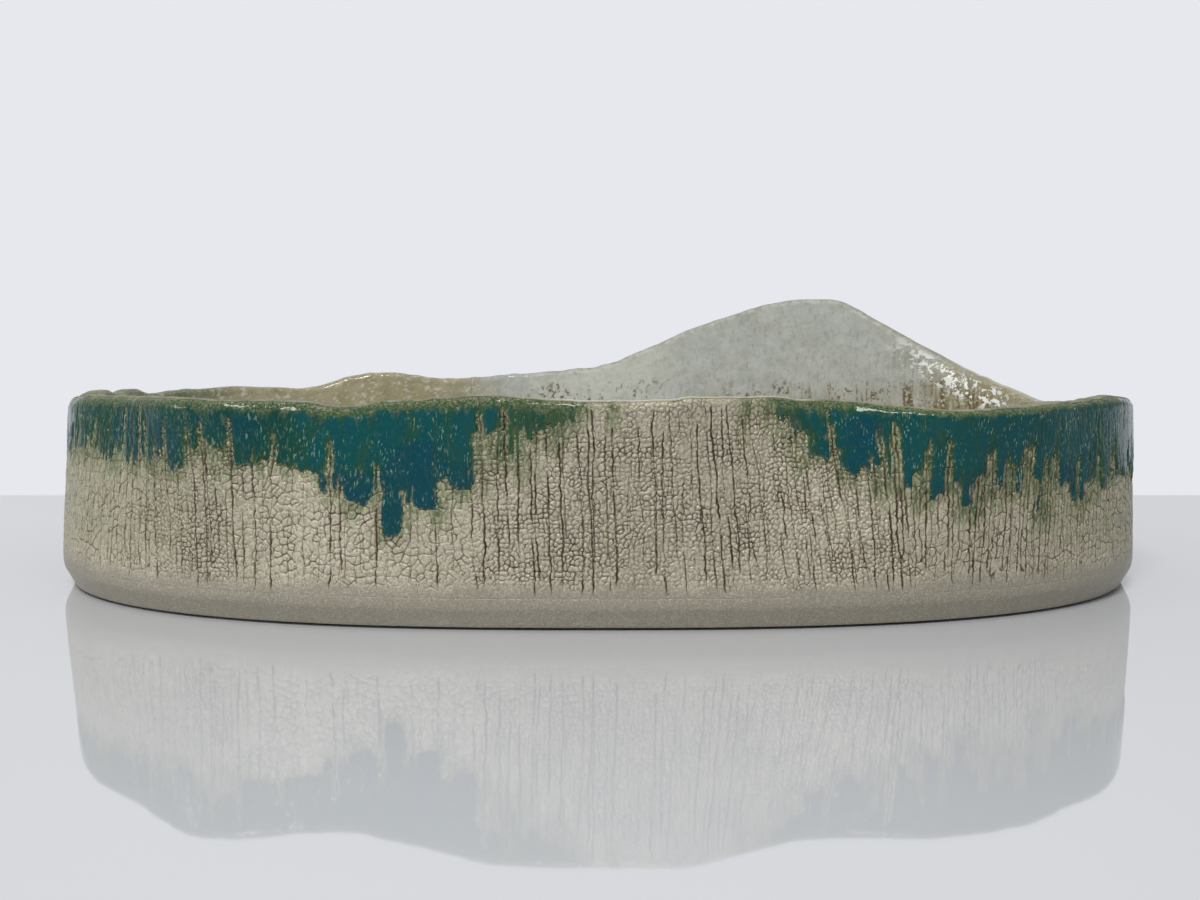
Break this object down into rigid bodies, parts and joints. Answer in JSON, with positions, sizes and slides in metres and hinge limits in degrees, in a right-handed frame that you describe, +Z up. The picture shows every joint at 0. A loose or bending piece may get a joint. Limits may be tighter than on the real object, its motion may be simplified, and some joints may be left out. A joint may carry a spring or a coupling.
{
  "type": "ikebana basin",
  "caption": "Low oval slab-built stoneware flower basin with a wavy rim, a mountain outline cut into the back wall, crackle glaze and blue-green glaze runs.",
  "frame": {"origin": "centre of the oval on the flat underside, which is also the base mount", "axes": "+X along the length towards the mountain end, +Z up, -Y is the front that the picture shows"},
  "size_m": [0.348, 0.2405, 0.0925],
  "materials": {
    "clay_body": "matte",
    "crackle_glaze": "satin",
    "beige_glaze": "satin",
    "white_glaze": "satin",
    "blue_green_glaze": "gloss"
  },
  "bodies": {
    "root": {"floor_slab": "clay_body", "front_wall": "clay_body", "back_wall": "clay_body", "inner_seam_coil": "clay_body", "crackle_glaze": "crackle_glaze", "inner_glaze": "beige_glaze", "mountain_glaze": "white_glaze", "floor_glaze": "beige_glaze", "left_glaze_run": "blue_green_glaze", "right_glaze_run": "blue_green_glaze"}
  },
  "joints": []
}
